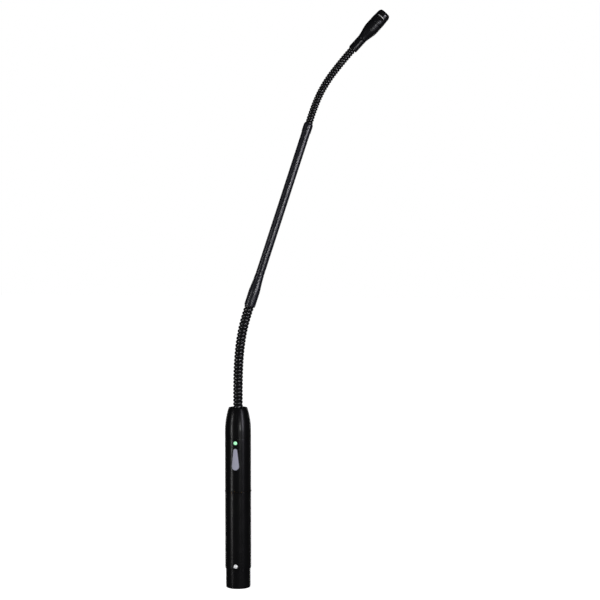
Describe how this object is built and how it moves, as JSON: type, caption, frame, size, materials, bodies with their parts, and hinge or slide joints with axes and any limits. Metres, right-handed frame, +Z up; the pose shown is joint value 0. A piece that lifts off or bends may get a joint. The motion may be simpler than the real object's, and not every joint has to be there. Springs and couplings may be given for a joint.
{
  "type": "gooseneck podium microphone",
  "caption": "Podium microphone: slim preamplifier body with an XLR plug foot, mute button and status light, two flexible neck stretches around a straight stem, and a small flared head.",
  "frame": {"origin": "centre of the XLR barrel's rim, at the foot of the body", "axes": "+Z up along the body from the plug to the neck, -Y the front with the mute button and light; the neck leans towards +X, turned 10 degrees towards +Y"},
  "size_m": [0.1189, 0.0336, 0.4242],
  "materials": {
    "black_body": "satin",
    "neck_black": "satin",
    "stem_black": "satin",
    "head_black": "satin",
    "contact_silver": "polished",
    "insulator_black": "matte",
    "screw_steel": "polished",
    "coupling_brass": "satin",
    "nut_nickel": "satin",
    "button_grey": "satin",
    "light_green": "gloss",
    "board_green": "satin",
    "part_black": "satin",
    "part_white": "satin",
    "capacitor_blue": "satin",
    "lead_red": "satin",
    "signal_lead_grey": "satin",
    "screen_silver": "satin",
    "capsule_aluminium": "satin",
    "capsule_rubber": "matte",
    "contact_gold": "polished"
  },
  "bodies": {
    "preamp": {"amplifier_chip": "part_black", "capacitor_1": "capacitor_blue", "capacitor_2": "capacitor_blue", "circuit_board": "board_green", "coupling_ring": "coupling_brass", "light_holder": "part_white", "lower_neck_lead": "signal_lead_grey", "lower_neck_root": "neck_black", "lower_sleeve": "black_body", "mute_switch": "part_black", "neck_clamp_nut": "nut_nickel", "nose_cap": "black_body", "pin_lead_1": "lead_red", "pin_lead_2": "lead_red", "pin_lead_3": "lead_red", "seam_ring": "black_body", "status_light": "light_green", "upper_sleeve": "black_body", "xlr_insulator": "insulator_black", "xlr_pin_1": "contact_silver", "xlr_pin_2": "contact_silver", "xlr_pin_3": "contact_silver", "xlr_retaining_screw": "screw_steel", "xlr_shell": "black_body"},
    "mute_button": {"mute_button": "button_grey", "mute_plunger": "part_white"},
    "lower_link_1": {"lower_neck_link_1": "neck_black"},
    "lower_link_2": {"lower_neck_link_2": "neck_black"},
    "lower_link_3": {"lower_neck_link_3": "neck_black"},
    "lower_link_4": {"lower_neck_link_4": "neck_black"},
    "lower_link_5": {"lower_neck_link_5": "neck_black"},
    "lower_link_6": {"lower_neck_link_6": "neck_black"},
    "lower_link_7": {"lower_neck_link_7": "neck_black"},
    "lower_link_8": {"lower_neck_link_8": "neck_black"},
    "stem": {"lower_neck_tip": "neck_black", "stem_lower_ferrule": "stem_black", "stem_tube": "stem_black", "stem_upper_ferrule": "stem_black", "stem_lead": "signal_lead_grey", "upper_neck_root": "neck_black"},
    "upper_link_1": {"upper_neck_link_1": "neck_black"},
    "upper_link_2": {"upper_neck_link_2": "neck_black"},
    "upper_link_3": {"upper_neck_link_3": "neck_black"},
    "upper_link_4": {"upper_neck_link_4": "neck_black"},
    "upper_link_5": {"upper_neck_link_5": "neck_black"},
    "upper_link_6": {"upper_neck_link_6": "neck_black"},
    "upper_link_7": {"upper_neck_link_7": "neck_black"},
    "upper_link_8": {"upper_neck_link_8": "neck_black"},
    "upper_link_9": {"upper_neck_link_9": "neck_black"},
    "head": {"upper_neck_tip": "neck_black", "upper_neck_lead": "signal_lead_grey", "head_collar": "head_black", "head_shell": "head_black", "cartridge_housing": "head_black", "front_cap": "head_black", "grille_screen": "screen_silver", "capsule": "capsule_aluminium", "capsule_ring": "capsule_rubber", "contact_board": "board_green", "centre_contact": "contact_gold"}
  },
  "joints": [
    {"name": "lower_bend_1", "type": "hinge", "parent": "preamp", "child": "lower_link_1", "pos_m": [0, 0, 0.13766], "axis": [-0.1736, 0.9848, 0], "range_deg": [-16, 11], "deforming": ["lower_neck_lead"]},
    {"name": "lower_sway_2", "type": "hinge", "parent": "lower_link_1", "child": "lower_link_2", "pos_m": [0.00002, 0, 0.14577], "axis": [0.9847, 0.1736, -0.0114], "range_deg": [-14, 14]},
    {"name": "lower_bend_3", "type": "hinge", "parent": "lower_link_2", "child": "lower_link_3", "pos_m": [0.00011, 0.00002, 0.15388], "axis": [-0.1736, 0.9848, 0], "range_deg": [-16, 11]},
    {"name": "lower_sway_4", "type": "hinge", "parent": "lower_link_3", "child": "lower_link_4", "pos_m": [0.00034, 0.00006, 0.16198], "axis": [0.9832, 0.1734, -0.0563], "range_deg": [-14, 14]},
    {"name": "lower_bend_5", "type": "hinge", "parent": "lower_link_4", "child": "lower_link_5", "pos_m": [0.00079, 0.00014, 0.17008], "axis": [-0.1736, 0.9848, 0], "range_deg": [-16, 11]},
    {"name": "lower_sway_6", "type": "hinge", "parent": "lower_link_5", "child": "lower_link_6", "pos_m": [0.00154, 0.00027, 0.17816], "axis": [0.9747, 0.1719, -0.1426], "range_deg": [-14, 14]},
    {"name": "lower_bend_7", "type": "hinge", "parent": "lower_link_6", "child": "lower_link_7", "pos_m": [0.00268, 0.00047, 0.18619], "axis": [-0.1736, 0.9848, 0], "range_deg": [-16, 11]},
    {"name": "lower_sway_8", "type": "hinge", "parent": "lower_link_7", "child": "lower_link_8", "pos_m": [0.0043, 0.00076, 0.19413], "axis": [0.9472, 0.167, -0.2738], "range_deg": [-14, 14]},
    {"name": "lower_bend_9", "type": "hinge", "parent": "lower_link_8", "child": "stem", "pos_m": [0.00649, 0.00114, 0.20193], "axis": [-0.1736, 0.9848, 0], "range_deg": [-16, 11]},
    {"name": "upper_bend_1", "type": "hinge", "parent": "stem", "child": "upper_link_1", "pos_m": [0.05237, 0.00923, 0.34473], "axis": [-0.1736, 0.9848, 0], "range_deg": [-17, 12], "deforming": ["upper_neck_lead"]},
    {"name": "upper_sway_2", "type": "hinge", "parent": "upper_link_1", "child": "upper_link_2", "pos_m": [0.05432, 0.00958, 0.35071], "axis": [0.9233, 0.1628, -0.3479], "range_deg": [-14, 14]},
    {"name": "upper_bend_3", "type": "hinge", "parent": "upper_link_2", "child": "upper_link_3", "pos_m": [0.05648, 0.00996, 0.35661], "axis": [-0.1736, 0.9848, 0], "range_deg": [-17, 12]},
    {"name": "upper_sway_4", "type": "hinge", "parent": "upper_link_3", "child": "upper_link_4", "pos_m": [0.05898, 0.0104, 0.36238], "axis": [0.8708, 0.1535, -0.4671], "range_deg": [-14, 14]},
    {"name": "upper_bend_5", "type": "hinge", "parent": "upper_link_4", "child": "upper_link_5", "pos_m": [0.06188, 0.01091, 0.36795], "axis": [-0.1736, 0.9848, 0], "range_deg": [-17, 12]},
    {"name": "upper_sway_6", "type": "hinge", "parent": "upper_link_5", "child": "upper_link_6", "pos_m": [0.06517, 0.01149, 0.37329], "axis": [0.7995, 0.141, -0.5838], "range_deg": [-14, 14]},
    {"name": "upper_bend_7", "type": "hinge", "parent": "upper_link_6", "child": "upper_link_7", "pos_m": [0.06879, 0.01213, 0.37841], "axis": [-0.1736, 0.9848, 0], "range_deg": [-17, 12]},
    {"name": "upper_sway_8", "type": "hinge", "parent": "upper_link_7", "child": "upper_link_8", "pos_m": [0.07263, 0.01281, 0.38335], "axis": [0.7615, 0.1343, -0.6341], "range_deg": [-14, 14]},
    {"name": "upper_bend_9", "type": "hinge", "parent": "upper_link_8", "child": "upper_link_9", "pos_m": [0.07657, 0.0135, 0.38823], "axis": [-0.1736, 0.9848, 0], "range_deg": [-17, 12]},
    {"name": "upper_sway_10", "type": "hinge", "parent": "upper_link_9", "child": "head", "pos_m": [0.0806, 0.01421, 0.39301], "axis": [0.7296, 0.1286, -0.6717], "range_deg": [-14, 14]},
    {"name": "mute_press", "type": "slide", "parent": "preamp", "child": "mute_button", "axis": [0, 1, 0], "range_m": [0, 0.0008], "stiffness_N_per_m": 600, "springref_m": -0.0006}
  ],
  "couplings": [
    {"joint": "lower_bend_3", "follows": "lower_bend_1", "ratio": 1},
    {"joint": "lower_sway_4", "follows": "lower_sway_2", "ratio": 1},
    {"joint": "lower_bend_5", "follows": "lower_bend_1", "ratio": 1},
    {"joint": "lower_sway_6", "follows": "lower_sway_2", "ratio": 1},
    {"joint": "lower_bend_7", "follows": "lower_bend_1", "ratio": 1},
    {"joint": "lower_sway_8", "follows": "lower_sway_2", "ratio": 1},
    {"joint": "lower_bend_9", "follows": "lower_bend_1", "ratio": 1},
    {"joint": "upper_bend_3", "follows": "upper_bend_1", "ratio": 1},
    {"joint": "upper_sway_4", "follows": "upper_sway_2", "ratio": 1},
    {"joint": "upper_bend_5", "follows": "upper_bend_1", "ratio": 1},
    {"joint": "upper_sway_6", "follows": "upper_sway_2", "ratio": 1},
    {"joint": "upper_bend_7", "follows": "upper_bend_1", "ratio": 1},
    {"joint": "upper_sway_8", "follows": "upper_sway_2", "ratio": 1},
    {"joint": "upper_bend_9", "follows": "upper_bend_1", "ratio": 1},
    {"joint": "upper_sway_10", "follows": "upper_sway_2", "ratio": 1}
  ]
}
